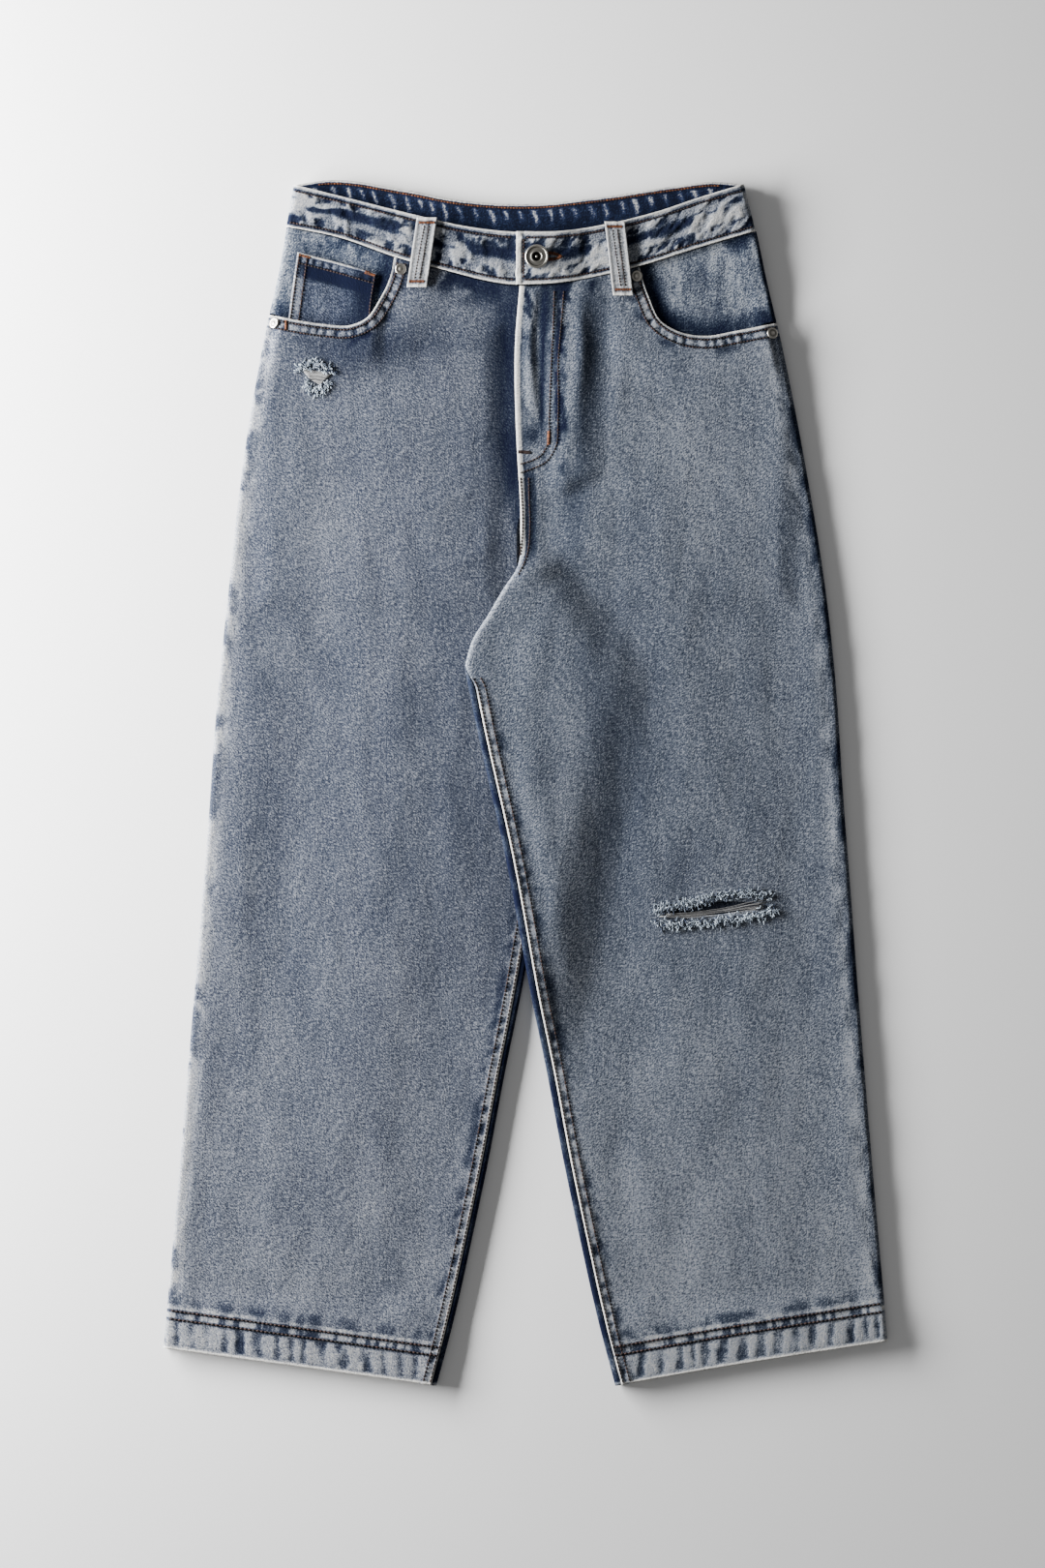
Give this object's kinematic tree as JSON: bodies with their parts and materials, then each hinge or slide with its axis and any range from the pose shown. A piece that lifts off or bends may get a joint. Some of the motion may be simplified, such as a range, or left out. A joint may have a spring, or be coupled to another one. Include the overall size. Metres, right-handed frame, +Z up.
{
  "type": "ripped jeans",
  "caption": "Wide-leg five-pocket jeans in stone-washed denim, laid flat with the front up, with a frayed slit at one knee and a worn patch on one hip.",
  "frame": {"origin": "middle of the floor area that the garment covers, on the surface it lies on", "axes": "+X towards the wearer's left, +Y towards the waist, +Z up from the surface"},
  "size_m": [0.5757, 0.9576, 0.0169],
  "materials": {
    "denim": "stone-washed indigo twill, matt",
    "dark_denim": "less faded indigo twill, matt",
    "loop_denim": "strongly faded twill, matt",
    "zip_tape": "woven tape",
    "thread": "sewing thread, dark brown and orange",
    "nickel": "antique nickel plate, satin"
  },
  "bodies": {
    "root": {"front_right": "denim", "front_left": "denim", "back_right": "denim", "back_left": "denim", "yoke_right": "denim", "yoke_left": "denim", "pocket_facing_right": "denim", "pocket_facing_left": "denim", "coin_pocket": "dark_denim", "fly_facing": "denim", "waistband_front_right": "denim", "waistband_front_left": "denim", "waistband_back": "dark_denim", "belt_loop_front_right": "loop_denim", "belt_loop_front_left": "loop_denim", "belt_loop_side_right": "loop_denim", "belt_loop_side_left": "loop_denim", "belt_loop_back": "loop_denim", "back_pocket_right": "denim", "back_pocket_left": "denim", "fly_zip": "zip_tape", "button": "nickel", "rivet_waist_right": "nickel", "rivet_waist_left": "nickel", "rivet_side_right": "nickel", "rivet_side_left": "nickel"}
  },
  "joints": []
}
